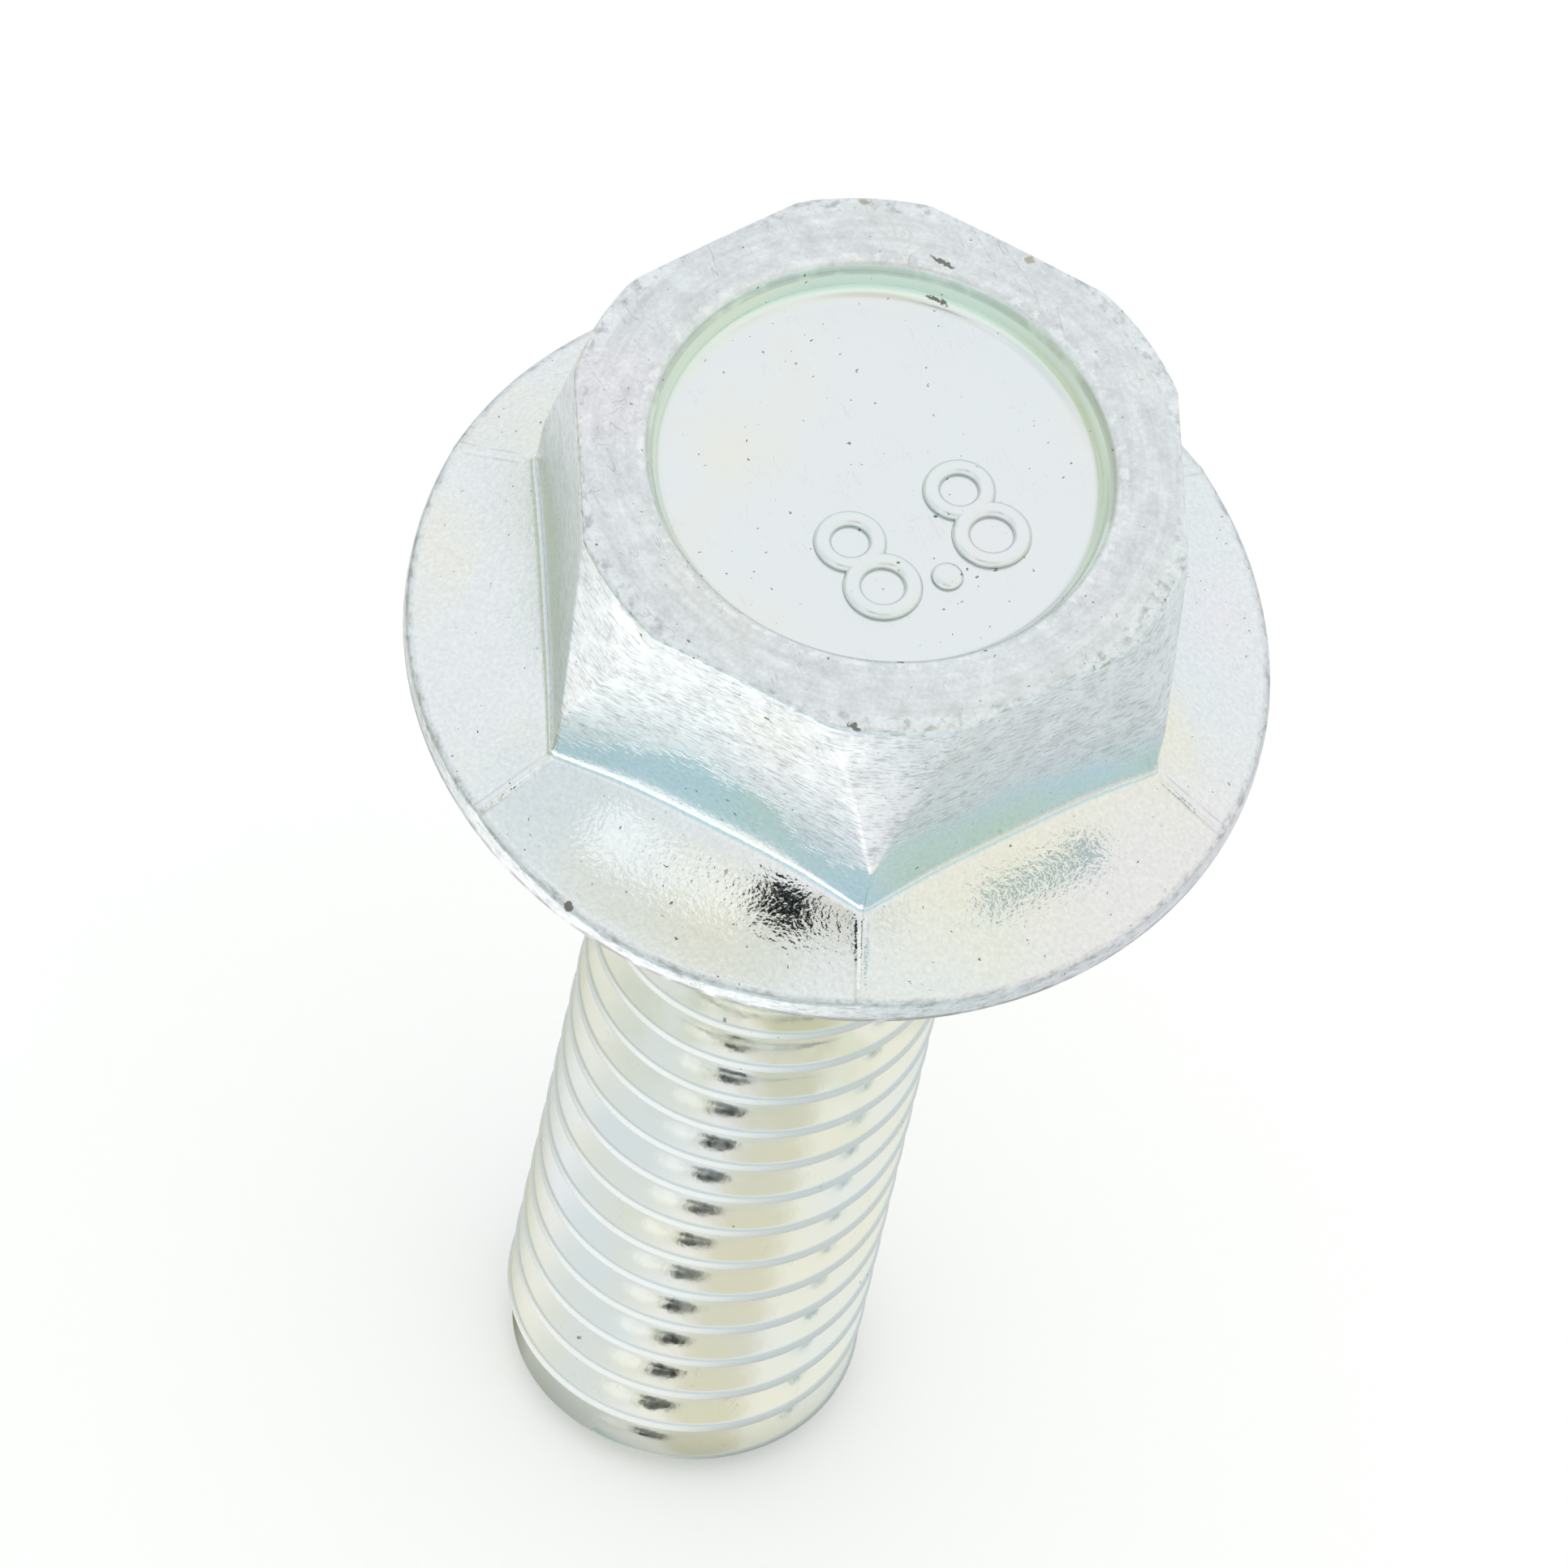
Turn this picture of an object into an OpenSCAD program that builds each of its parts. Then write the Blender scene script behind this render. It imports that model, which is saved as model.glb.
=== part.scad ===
// Hexagon head screw with a flange, M6, nominal length 20, fully threaded, cold forged in one piece.
// Lengths are in millimetres. +Z runs along the axis toward the head.
// The origin is at the centre of the flange's bearing face.

/* [Thread] */
// Nominal thread diameter
thread_diameter = 6; // [4:0.5:10]
// Advance in one turn, right hand
thread_pitch = 1; // [0.5:0.05:1.5]
// Length from the bearing face to the thread end
shank_length = 20.3; // [12:0.1:50]
// How far the rolled crest stays below the nominal radius
crest_allowance = 0.04; // [0:0.01:0.1]
// Length of the plain neck under the head
neck_length = 1.0; // [0.8:0.1:3]
// Length over which the thread fades into the neck
runout_length = 1.2; // [0.5:0.1:3]
// Radius between the neck and the bearing face
neck_fillet = 0.35; // [0.2:0.05:0.6]
// Width of the chamfer at the thread end
end_chamfer = 0.48; // [0.3:0.02:1.2]

/* [Hexagon] */
// Width across flats
across_flats = 9.9; // [7:0.1:16]
// Height of the head above the bearing face
head_height = 5.8; // [4:0.1:12]
// Radius of the flat ring on top of the head
top_ring_radius = 4.4; // [4.1:0.1:7]
// Slope of the chamfer round the top
chamfer_angle = 8; // [5:1:35]
// Radius where that chamfer ends and the corners begin
corner_top_radius = 5.2; // [5:0.05:9]
// Radius of the corners at the flange
corner_base_radius = 5.8; // [5.75:0.05:10]
// Fillet between the hexagon's sides and the flange
side_fillet = 0.5; // [0.2:0.05:1]

/* [Flange] */
// Flange diameter
flange_diameter = 14.2; // [12:0.1:24]
// Height of the rim under each corner of the hexagon
rim_height = 0.8; // [0.6:0.05:2]
// Slope of the six faces between the hexagon and the rim
flange_slope = 30; // [15:1:35]
// Rounding of the rim's lower edge
rim_round = 0.15; // [0.05:0.01:0.3]

/* [Recess] */
// Diameter of the recess at the top of the head
recess_diameter = 7.64; // [4:0.1:8]
// Depth of the recess
recess_depth = 0.6; // [0.3:0.05:2]
// Draft of the recess wall
recess_draft = 18; // [0:1:30]
// Rounding of the recess edge
recess_lip = 0.12; // [0.05:0.01:0.3]
// Fillet between the recess wall and floor
recess_fillet = 0.2; // [0.1:0.01:0.5]

/* [Hidden] */
$fn = 96;
steps = 5;
thread_sides = 36;
over = 1;

// Basic profile of a metric thread: 60 degree flanks, flat crest, short root
crest_radius = thread_diameter / 2 - crest_allowance;
root_radius = thread_diameter / 2 - 0.6134 * thread_pitch;
flank_run = (crest_radius - root_radius) * tan(30);
crest_width = thread_pitch / 8 + 2 * crest_allowance * tan(30);
root_width = thread_pitch - crest_width - 2 * flank_run;
blank_radius = thread_diameter / 2 - 0.3248 * thread_pitch;
neck_radius = blank_radius + 0.06;
end_radius = crest_radius - end_chamfer;

flange_radius = flange_diameter / 2;
side_apothem = across_flats / 2;
// Height where a side of the hexagon, carried down, meets its flange face
seat_height = rim_height + (flange_radius * cos(30) - side_apothem) * tan(flange_slope);
chamfer_height = (corner_top_radius - top_ring_radius) * tan(chamfer_angle);
corner_top = head_height - chamfer_height;
// The corners begin just above the fillet's start, clear of the flange faces
fillet_reach = side_fillet * tan((90 - flange_slope) / 2);
corner_base = seat_height + 0.4 * fillet_reach;
recess_radius = recess_diameter / 2;
floor_height = head_height - recess_depth;

// Points on an arc, both ends included
function arc(cx, cy, r, a0, a1, n = steps) =
    [for (i = [0:n]) let (a = a0 + (a1 - a0) * i / n) [cx + r * cos(a), cy + r * sin(a)]];

function smooth(u) = let (t = min(1, max(0, u))) t * t * (3 - 2 * t);

// Everything on the head that is round about the axis, as one turned outline
module turned_outline() {
    rotate_extrude()
        polygon(concat(
            [[0, -neck_length], [neck_radius, -neck_length]],
            arc(neck_radius + neck_fillet, -neck_fillet, neck_fillet, 180, 90),
            arc(flange_radius - rim_round, rim_round, rim_round, -90, 0),
            [[flange_radius, corner_base],
             [corner_base_radius, corner_base], [corner_top_radius, corner_top],
             [top_ring_radius, head_height], [0, head_height]]));
}

// Outline across two opposite sides: wall, fillet, sloping flange face
module side_outline() {
    half = concat(
        [[side_apothem, head_height + over]],
        arc(side_apothem + side_fillet, seat_height + fillet_reach, side_fillet,
            180, 270 - flange_slope),
        [[side_apothem + (seat_height + neck_length + over) / tan(flange_slope),
          -neck_length - over]]);
    polygon(concat(half, [for (i = [len(half) - 1:-1:0]) [-half[i][0], half[i][1]]]));
}

// Six sides and six flange faces, from three outlines at 60 degrees
module hexagon() {
    intersection_for (i = [0:2])
        rotate([0, 0, 30 + 60 * i])
            rotate([90, 0, 0])
                linear_extrude(height = 4 * flange_diameter, center = true)
                    side_outline();
}

// Shallow round recess in the top of the head
module recess() {
    wall = recess_draft;
    lip_angle = 90 - wall;
    lip_x = recess_radius + recess_lip * tan(lip_angle / 2);
    lip_end = [lip_x - recess_lip * cos(wall), head_height - recess_lip + recess_lip * sin(wall)];
    toe_y = floor_height + recess_fillet;
    toe_x = lip_end[0] - (lip_end[1] - toe_y + recess_fillet * sin(wall)) * tan(wall)
        - recess_fillet * cos(wall);
    rotate_extrude()
        polygon(concat(
            [[0, floor_height]],
            arc(toe_x, toe_y, recess_fillet, -90, -wall),
            arc(lip_x, head_height - recess_lip, recess_lip, 180 - wall, 90),
            [[lip_x, head_height + over], [0, head_height + over]]));
}

// Right-hand thread as one helical skin: four points in each turn, from below the end into the head
module thread_helix() {
    low = -shank_length - 2 * thread_pitch;
    turns = ceil((shank_length + 2.5 * thread_pitch) / thread_pitch);
    last = 4 * turns;
    part = [0, root_width, root_width + flank_run, root_width + flank_run + crest_width];
    form = [root_radius, root_radius, crest_radius, crest_radius];
    count = (last + 1) * thread_sides;
    function height(m, i) = low + thread_pitch * (floor(m / 4) + i / thread_sides) + part[m % 4];
    function radius(m, z) =
        let (fade = smooth((z + neck_length + runout_length) / runout_length))
        form[m % 4] * (1 - fade) + blank_radius * fade;
    function spot(m, i) =
        let (z = height(m, i), r = radius(m, z), a = 360 * i / thread_sides)
        [r * cos(a), r * sin(a), z];
    // Column number thread_sides of one row is column 0 of the row one turn higher
    function at(m, i) =
        i < thread_sides ? (m <= last ? m * thread_sides + i : count + m - last - 1) : at(m + 4, 0);
    bottom = count + 4;
    top = count + 5;
    points = concat(
        [for (m = [0:last], i = [0:thread_sides - 1]) spot(m, i)],
        [for (m = [last + 1:last + 4]) spot(m, 0)],
        [[0, 0, low + thread_pitch / 2], [0, 0, height(last, 0) + thread_pitch / 2]]);
    skin = [for (m = [0:last - 1], i = [0:thread_sides - 1], h = [0, 1])
        h == 0 ? [at(m, i), at(m + 1, i + 1), at(m, i + 1)]
               : [at(m, i), at(m + 1, i), at(m + 1, i + 1)]];
    low_ring = concat([for (i = [0:thread_sides]) at(0, i)], [at(3, 0), at(2, 0), at(1, 0)]);
    high_ring = concat([for (i = [0:thread_sides]) at(last, i)],
        [at(last + 3, 0), at(last + 2, 0), at(last + 1, 0)]);
    low_cap = [for (j = [0:len(low_ring) - 1])
        [bottom, low_ring[j], low_ring[(j + 1) % len(low_ring)]]];
    high_cap = [for (j = [0:len(high_ring) - 1])
        [top, high_ring[(j + 1) % len(high_ring)], high_ring[j]]];
    polyhedron(points, concat(skin, low_cap, high_cap), convexity = 12);
}

// What stays of the thread: flat end, chamfer, and a stop inside the head
module shank_envelope() {
    rotate_extrude()
        polygon([[0, -shank_length],
                 [end_radius, -shank_length],
                 [end_radius + end_chamfer + over, -shank_length + end_chamfer + over],
                 [end_radius + end_chamfer + over, rim_height / 2],
                 [0, rim_height / 2]]);
}

// The whole screw, one forged and rolled piece
module flange_screw() {
    color([0.78, 0.8, 0.8])
        union() {
            difference() {
                intersection() {
                    turned_outline();
                    hexagon();
                }
                recess();
            }
            intersection() {
                thread_helix();
                shank_envelope();
            }
        }
}

flange_screw();
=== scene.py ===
# %% [markdown]
# # A zinc plated flange screw
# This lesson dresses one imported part, a forged and thread-rolled screw, and lights it on a pale table.
# The CAD solid already has the true sizes. Blender adds what a solid modeller leaves out: the soft
# shoulders of a cold forging, the rounded crests of a rolled thread, and the skin of the plating.

# %% Load the frame
import math

import bpy
import numpy as np
from mathutils import Matrix, Vector


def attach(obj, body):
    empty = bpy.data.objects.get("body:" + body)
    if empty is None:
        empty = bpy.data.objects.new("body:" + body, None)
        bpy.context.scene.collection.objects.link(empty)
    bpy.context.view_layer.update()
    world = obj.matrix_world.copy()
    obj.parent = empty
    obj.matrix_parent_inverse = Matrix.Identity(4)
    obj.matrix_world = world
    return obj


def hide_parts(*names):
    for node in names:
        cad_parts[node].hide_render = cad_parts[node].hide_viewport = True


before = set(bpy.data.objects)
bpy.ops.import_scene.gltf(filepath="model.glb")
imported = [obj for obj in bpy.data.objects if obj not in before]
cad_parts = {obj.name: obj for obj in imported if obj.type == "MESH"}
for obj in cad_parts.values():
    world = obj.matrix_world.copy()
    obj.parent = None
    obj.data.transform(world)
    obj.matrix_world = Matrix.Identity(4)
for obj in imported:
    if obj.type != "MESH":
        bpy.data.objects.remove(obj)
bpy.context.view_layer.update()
NODE = "flange_screw"

# %% [markdown]
# The sizes repeat those of the CAD source, in millimetres and radians, because a script for the looks
# must never change the part. A screw is measured from its bearing face, so that face is height zero:
# the head stands above it and the thread hangs below it.

# %% Sizes of the screw
MM = 0.001
ACROSS_FLATS = 9.9
HEAD_TOP = 5.8
FLANGE_RADIUS = 7.1
RIM_AT_CORNER = 0.8
FLANGE_SLOPE = math.tan(math.radians(30))
TOP_RING = 4.4
CHAMFER_SLOPE = math.tan(math.radians(8))
CORNER_TOP = 5.2
CORNER_BASE = 5.8
SIDE_FILLET = 0.29
NECK_RADIUS = 2.735
NECK_LENGTH = 1.0
RECESS_RADIUS = 3.82
RECESS_FOOT = 3.64
RECESS_FLOOR = HEAD_TOP - 0.6
SHANK = 20.3
PITCH = 1.0
CREST = 2.96
ROOT = 2.3866
BLANK = 2.6752
RUNOUT = 1.2
END_CHAMFER = 0.48
HALF_SIDE = math.radians(30)
APOTHEM = ACROSS_FLATS / 2
SEAT = RIM_AT_CORNER + (FLANGE_RADIUS * math.cos(HALF_SIDE) - APOTHEM) * FLANGE_SLOPE
print("hexagon sides meet the flange at height", round(SEAT, 3), "mm")


# %% [markdown]
# Operators act on whatever is selected, so every step starts from a clean slate. Small helpers do
# that: they pick one piece, put it into edit mode or apply its modifiers. The last one draws a chain
# of points, which is how each turned form starts.

# %% Helpers for selecting
MERGE = 1e-7


def deselect_all():
    if bpy.context.object and bpy.context.object.mode != "OBJECT":
        bpy.ops.object.mode_set(mode="OBJECT")
    bpy.ops.object.select_all(action="DESELECT")


def pick(piece):
    deselect_all()
    piece.select_set(True)
    bpy.context.view_layer.objects.active = piece


def edit(piece):
    pick(piece)
    bpy.ops.object.mode_set(mode="EDIT")


def apply_modifiers(piece):
    pick(piece)
    for modifier in list(piece.modifiers):
        bpy.ops.object.modifier_apply(modifier=modifier.name)


def draw_chain(name, points):
    """A chain of vertices in the XZ plane, drawn point by point from (radius, height) in mm."""
    deselect_all()
    bpy.ops.mesh.primitive_plane_add(size=0.001, location=(0, 0, 0))
    piece = bpy.context.object
    piece.name = name
    piece.data.name = name
    edit(piece)
    bpy.ops.mesh.select_all(action="SELECT")
    bpy.ops.mesh.merge(type="CENTER")
    r, z = points[0]
    bpy.ops.transform.translate(value=(r * MM, 0, z * MM))
    for (r0, z0), (r1, z1) in zip(points[:-1], points[1:]):
        step = ((r1 - r0) * MM, 0, (z1 - z0) * MM)
        bpy.ops.mesh.extrude_vertices_move(TRANSFORM_OT_translate={"value": step})
    bpy.ops.object.mode_set(mode="OBJECT")
    return piece


print("helpers ready")


# %% [markdown]
# The head is forged from round wire. First a punch upsets the wire into a round blank, then a die
# squeezes six sides and six flange faces into it, so its edges are soft and its corners don't fill.
# The same two steps work here: spin an outline into a round blank, then press it. The outline is a
# list of corners, each with a rounding, because one list can then be read at any angle round the axis.

# %% The outline of the head at one angle
def rounded(points, radii, straights, arc_rows=6):
    """Points along a polyline with soft corners; the number of points never depends on the sizes."""
    pts = [np.array(p, float) for p in points]
    ends = [(pts[0], pts[0])]
    corners = []
    for i in range(1, len(pts) - 1):
        before, after = pts[i - 1] - pts[i], pts[i + 1] - pts[i]
        lb, la = np.linalg.norm(before), np.linalg.norm(after)
        reach = min(radii[i], 0.48 * lb, 0.48 * la)
        a, b = pts[i] + before / lb * reach, pts[i] + after / la * reach
        u = np.linspace(0, 1, arc_rows + 1)[:, None]
        corners.append((1 - u) ** 2 * a + 2 * u * (1 - u) * pts[i] + u ** 2 * b)
        ends.append((a, b))
    ends.append((pts[-1], pts[-1]))
    out = [pts[0][None]]
    for i in range(1, len(pts)):
        start, stop = ends[i - 1][1], ends[i][0]
        u = np.linspace(0, 1, straights[i - 1] + 1)[1:, None]
        out.append(start + (stop - start) * u)
        if i < len(pts) - 1:
            out.append(corners[i - 1][1:])
    return np.vstack(out)


def hexagon_radius(off_corner):
    """Radius of a hexagon with slightly rounded corners, at an angle from its nearest corner."""
    rounding = 0.14
    centre = (APOTHEM - rounding) / math.cos(HALF_SIDE)
    tangent = math.atan2(rounding * 0.5, centre + rounding * math.cos(HALF_SIDE))
    if off_corner < tangent:
        return centre * math.cos(off_corner) + math.sqrt(
            rounding ** 2 - (centre * math.sin(off_corner)) ** 2)
    return APOTHEM / math.cos(HALF_SIDE - off_corner)


def ramp(value, low, high):
    u = np.clip((value - low) / (high - low), 0, 1)
    return u * u * (3 - 2 * u)


# A flange face isn't quite flat: it turns a little toward each ridge, is dished toward the rim, and
# has a fine bead along the ridge itself.
BULGE, BULGE_FROM, BULGE_TO = (math.radians(a) for a in (18, 6, 27))
DISH = 0.16
DISH_CENTRE = 5.76
BEAD_HEIGHT = 0.02
BEAD_WIDTH = 0.07
face_angle = np.linspace(0, HALF_SIDE, 601)
face_slope = np.tan(BULGE * ramp(face_angle, BULGE_FROM, BULGE_TO) - face_angle)
face_steps = (face_slope[1:] + face_slope[:-1]) / 2 * np.diff(face_angle)
face_reach = np.exp(np.r_[0, np.cumsum(face_steps)])


def facet_height(radius, off_corner):
    out = radius * np.interp(HALF_SIDE - off_corner, face_angle, face_reach)
    fall = FLANGE_SLOPE * (out - APOTHEM)
    dish = DISH * (DISH_CENTRE * (out - APOTHEM) - (out ** 2 - APOTHEM ** 2) / 2)
    bead = BEAD_HEIGHT * math.exp(-(radius * off_corner / BEAD_WIDTH) ** 2)
    return SEAT - fall - dish + bead


SHOULDER = 0.3
WALL_ROWS = 30
FACE_POINTS = 14
TOP_SOFTNESS, TOP_ROWS = [0, 0.3, 0.2, 0.26, 0.09, 0], [14, 3, 5, 4, 2]
LOW_SOFTNESS, LOW_ROWS = [0, 0.09, 0.12, 0.3, 0.05, 0], [1, 4, 8, 3, 4]
corner_top_height = HEAD_TOP - (CORNER_TOP - TOP_RING) * CHAMFER_SLOPE
corner_base_height = SEAT + 0.4 * SIDE_FILLET


def corner_cone(height):
    """Radius of the cone that the die leaves at the corners, where the steel didn't fill it."""
    u = (height - corner_base_height) / (corner_top_height - corner_base_height)
    return CORNER_BASE - (CORNER_BASE - CORNER_TOP) * u


def head_outline(off_corner):
    """The head's outline, as (radius, height), at an angle from its nearest corner."""
    side = hexagon_radius(off_corner)
    edge = min(side, CORNER_TOP)
    edge_height = HEAD_TOP - (edge - TOP_RING) * CHAMFER_SLOPE
    shoulder = edge_height - SHOULDER
    top = rounded(
        [(0, RECESS_FLOOR), (RECESS_FOOT, RECESS_FLOOR), (RECESS_RADIUS, HEAD_TOP),
         (TOP_RING, HEAD_TOP), (edge, edge_height),
         (min(side, corner_cone(shoulder)), shoulder)], TOP_SOFTNESS, TOP_ROWS)
    base = facet_height(side, off_corner)
    z_low = base + SIDE_FILLET
    heights = np.linspace(shoulder, z_low, WALL_ROWS + 1)[1:-1]
    wall = np.array([(min(side, corner_cone(z)), z) for z in heights])
    rim_top = facet_height(FLANGE_RADIUS, off_corner)
    faces = np.linspace(side, FLANGE_RADIUS, FACE_POINTS)
    face = [(r, facet_height(r, off_corner)) for r in faces[2:-1]]
    foot = rounded([(side, z_low), (side, base), face[0]], [0, SIDE_FILLET, 0], [1, 1], 8)
    low = rounded(
        [face[-1], (FLANGE_RADIUS, rim_top), (FLANGE_RADIUS, 0), (NECK_RADIUS, 0),
         (NECK_RADIUS, -NECK_LENGTH), (0, -NECK_LENGTH)], LOW_SOFTNESS, LOW_ROWS)
    return np.vstack([top, wall, foot, face[1:-1], low])


blank = head_outline(0.0)
print("outline of the head:", len(blank), "points")

# %% [markdown]
# Spin turns the chain round the axis into a closed skin of revolution. The points on the axis fall
# on each other and are merged, and the normals are then turned outward.

# %% Spin the round blank
COLUMNS = 6 * 48
head = draw_chain("screw_head", [tuple(p) for p in blank])
edit(head)
bpy.ops.mesh.select_all(action="SELECT")
bpy.ops.mesh.spin(steps=COLUMNS, angle=2 * math.pi, center=(0, 0, 0), axis=(0, 0, 1))
bpy.ops.mesh.select_all(action="SELECT")
bpy.ops.mesh.remove_doubles(threshold=MERGE)
bpy.ops.mesh.normals_make_consistent(inside=False)
bpy.ops.object.mode_set(mode="OBJECT")
print("round blank:", len(head.data.vertices), "vertices", len(head.data.polygons), "faces")

# %% [markdown]
# Now the die closes. Every vertex knows its row and its column from the outline it was spun from, and
# it is moved to where the outline at its new angle has that row. The columns don't stay evenly spread:
# in each row, some gather at the border between a flat side and the cone at the corner. That border is
# a curve, and with a column on each side of it, it comes out as one clean edge.
# At the end an attribute notes the edges that wear bright, the lines of painted shade at feet and
# creases, and a grey line along the rim's upper edge.

# %% Press the six sides
HALF = COLUMNS // 12
CONE_COLUMNS = 10
BORDER = 0.35


def column_angles(border):
    """Angles from the corner, in degrees, for the columns of half a side."""
    t = np.linspace(0, 1, CONE_COLUMNS)
    cone = (border - BORDER) * (1 - (1 - t) ** 1.5)
    t = np.linspace(0, 1, HALF + 1 - CONE_COLUMNS)
    return np.r_[cone, border + BORDER + (30 - border - BORDER) * t ** 1.4]


def border_of_row(row):
    """Where the flat side begins in a row; rows without a cone keep a narrow strip at the corner."""
    border = 12.0
    for _ in range(6):
        height = head_outline(math.radians(border))[row, 1]
        cone = corner_cone(max(min(height, corner_top_height), corner_base_height))
        border = 30 - math.degrees(math.acos(min(1.0, APOTHEM / cone)))
    return max(border, 1.6)


co = np.empty(len(head.data.vertices) * 3)
head.data.vertices.foreach_get("co", co)
co = co.reshape(-1, 3) / MM
radius = np.hypot(co[:, 0], co[:, 1])
turn = np.arctan2(co[:, 1], co[:, 0])
row_of = np.argmin((radius[:, None] - blank[None, :, 0]) ** 2
                   + (co[:, 2][:, None] - blank[None, :, 1]) ** 2, axis=1)
column_of = np.round(turn / (2 * math.pi) * COLUMNS).astype(int) % COLUMNS
spread = np.array([column_angles(border_of_row(row)) for row in range(len(blank))])
place = np.array([[head_outline(math.radians(a))[row] for a in spread[row]]
                  for row in range(len(blank))])
within = column_of % (2 * HALF)
mirrored = within > HALF
step = np.where(mirrored, 2 * HALF - within, within)
off = spread[row_of, step]
angle = np.radians((column_of // (2 * HALF)) * 60 + np.where(mirrored, 60 - off, off))
pressed = place[row_of, step]
co = np.c_[pressed[:, 0] * np.cos(angle), pressed[:, 0] * np.sin(angle), pressed[:, 1]]
head.data.vertices.foreach_set("co", (co * MM).ravel())
head.data.update()
BRIGHT, PAINTED_SHADE = 0, 1
CHAMFER_EDGE, RECESS_LIP = (46, 49), (27, 29)
RIM_EDGE, RIM_FOOT, LIP_FOOT = (104, 105), (113, 120), (23, 25)
FACE_ROWS, CORNER_FOOT = (92, 103), (73, 89)


def rows(first, last):
    return (row_of >= first) & (row_of <= last)


wear_and_shade = np.zeros((len(co), 4))
for span in (CHAMFER_EDGE, RECESS_LIP):
    wear_and_shade[rows(*span), BRIGHT] = 1
# Painted shade under the rim and under the recess lip; a fainter grey line on the rim's upper edge.
for span, amount in ((RIM_EDGE, 0.4), (RIM_FOOT, 1), (LIP_FOOT, 0.4)):
    wear_and_shade[rows(*span), PAINTED_SHADE] = amount
# Painted shade beside each flange ridge and at the foot of each hexagon corner.
wear_and_shade[rows(*FACE_ROWS) & (step >= 4) & (step <= 6), PAINTED_SHADE] = 0.3
wear_and_shade[rows(*CORNER_FOOT) & (step == 0), PAINTED_SHADE] = 0.5
wear_and_shade[:, 3] = 1
edges = head.data.attributes.new("edges", "FLOAT_COLOR", "POINT")
edges.data.foreach_set("color", wear_and_shade.ravel())
print("pressed", len(co), "vertices, lowest", co[:, 2].min(), "highest", co[:, 2].max())

# %% [markdown]
# The thread is rolled between dies, which squeeze grooves in and push the metal up into crests. One
# pitch of its outline is drawn once. An Array modifier repeats it down the shank, and a Screw modifier
# turns it once round the axis while it climbs by one pitch, so each turn runs on into the next.

# %% Roll the thread
TURNS = 22
LOW = -SHANK - 2 * PITCH
CREST_AT = 0.583
MID_FLANK = 2.665
half = [(-0.5, ROOT), (-0.45, ROOT + 0.004), (-0.41, ROOT + 0.03), (-0.27, MID_FLANK),
        (-0.135, CREST - 0.055), (-0.095, CREST - 0.014), (-0.05, CREST)]
one_pitch = half + [(-z, r) for z, r in reversed(half)]
start = LOW + CREST_AT
thread = draw_chain("screw_thread", [(r, start + z) for z, r in one_pitch])
array = thread.modifiers.new("pitches", "ARRAY")
array.count = TURNS
array.use_relative_offset = False
array.use_constant_offset = True
array.constant_offset_displace = (0, 0, PITCH * MM)
array.use_merge_vertices = True
array.merge_threshold = MERGE
screw = thread.modifiers.new("helix", "SCREW")
screw.axis = "Z"
screw.angle = 2 * math.pi
screw.screw_offset = PITCH * MM
screw.steps = screw.render_steps = 120
screw.use_merge_vertices = True
screw.merge_threshold = MERGE
apply_modifiers(thread)
edit(thread)
bpy.ops.mesh.select_all(action="SELECT")
bpy.ops.mesh.remove_doubles(threshold=MERGE)
bpy.ops.mesh.normals_make_consistent(inside=False)
bpy.ops.object.mode_set(mode="OBJECT")
print("rolled thread:", len(thread.data.vertices), "vertices")

# %% [markdown]
# Near the head the rolling dies lift off, and the thread fades into the plain neck. At the other end
# the wire was pointed before rolling, so the last turn is chamfered. Both are moves along the radius.
# The two cuts are flat, and the edges round them are marked sharp.

# %% Run-out and chamfer
co = np.empty(len(thread.data.vertices) * 3)
thread.data.vertices.foreach_get("co", co)
co = co.reshape(-1, 3) / MM
radius = np.hypot(co[:, 0], co[:, 1])
fade = np.clip((co[:, 2] + NECK_LENGTH + RUNOUT) / RUNOUT, 0, 1)
fade = fade * fade * (3 - 2 * fade)
wanted = radius * (1 - fade) + (BLANK - 0.03) * fade
END_RADIUS = CREST - END_CHAMFER
END_SOFTNESS = 0.1
chamfer = END_RADIUS + (co[:, 2] + SHANK)
near = np.clip(END_SOFTNESS - np.abs(wanted - chamfer), 0, None) / END_SOFTNESS
pointed = np.minimum(wanted, chamfer) - near * near * END_SOFTNESS / 4
wanted = np.where(co[:, 2] > -SHANK - 1, pointed, END_RADIUS)
co[:, :2] *= (wanted / radius)[:, None]
thread.data.vertices.foreach_set("co", (co * MM).ravel())
thread.data.update()
edit(thread)
for height, clear_low in ((-SHANK, True), (-NECK_LENGTH / 2, False)):
    bpy.ops.mesh.select_all(action="SELECT")
    bpy.ops.mesh.bisect(plane_co=(0, 0, height * MM), plane_no=(0, 0, 1), use_fill=True,
                        clear_inner=clear_low, clear_outer=not clear_low, threshold=1e-8)
bpy.ops.mesh.select_all(action="DESELECT")
bpy.ops.mesh.select_face_by_sides(number=20, type="GREATER")
bpy.ops.mesh.mark_sharp()
bpy.ops.mesh.select_all(action="SELECT")
bpy.ops.mesh.normals_make_consistent(inside=False)
bpy.ops.object.mode_set(mode="OBJECT")
print("thread cut to length:", len(thread.data.vertices), "vertices")

# %% [markdown]
# The strength class of the steel is a plain number that every maker stamps, so it stays: two figures
# and a point, raised by the punch that made the recess. A figure is two oval rings, half sunk.

# %% Raised figures of the strength class
READ = math.radians(60)
along = Vector((math.cos(READ), math.sin(READ), 0))
up = Vector((-math.sin(READ), math.cos(READ), 0))
CROWN = 0.75
FIGURES_AT = (-1.04, 1.08)
LOOPS = ((-0.79, 0.46, 0.44, 0.155), (-1.77, 0.51, 0.49, 0.16))
POINT_AT, POINT_RADIUS, POINT_CROWN = -2.1, 0.27, 0.45


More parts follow.
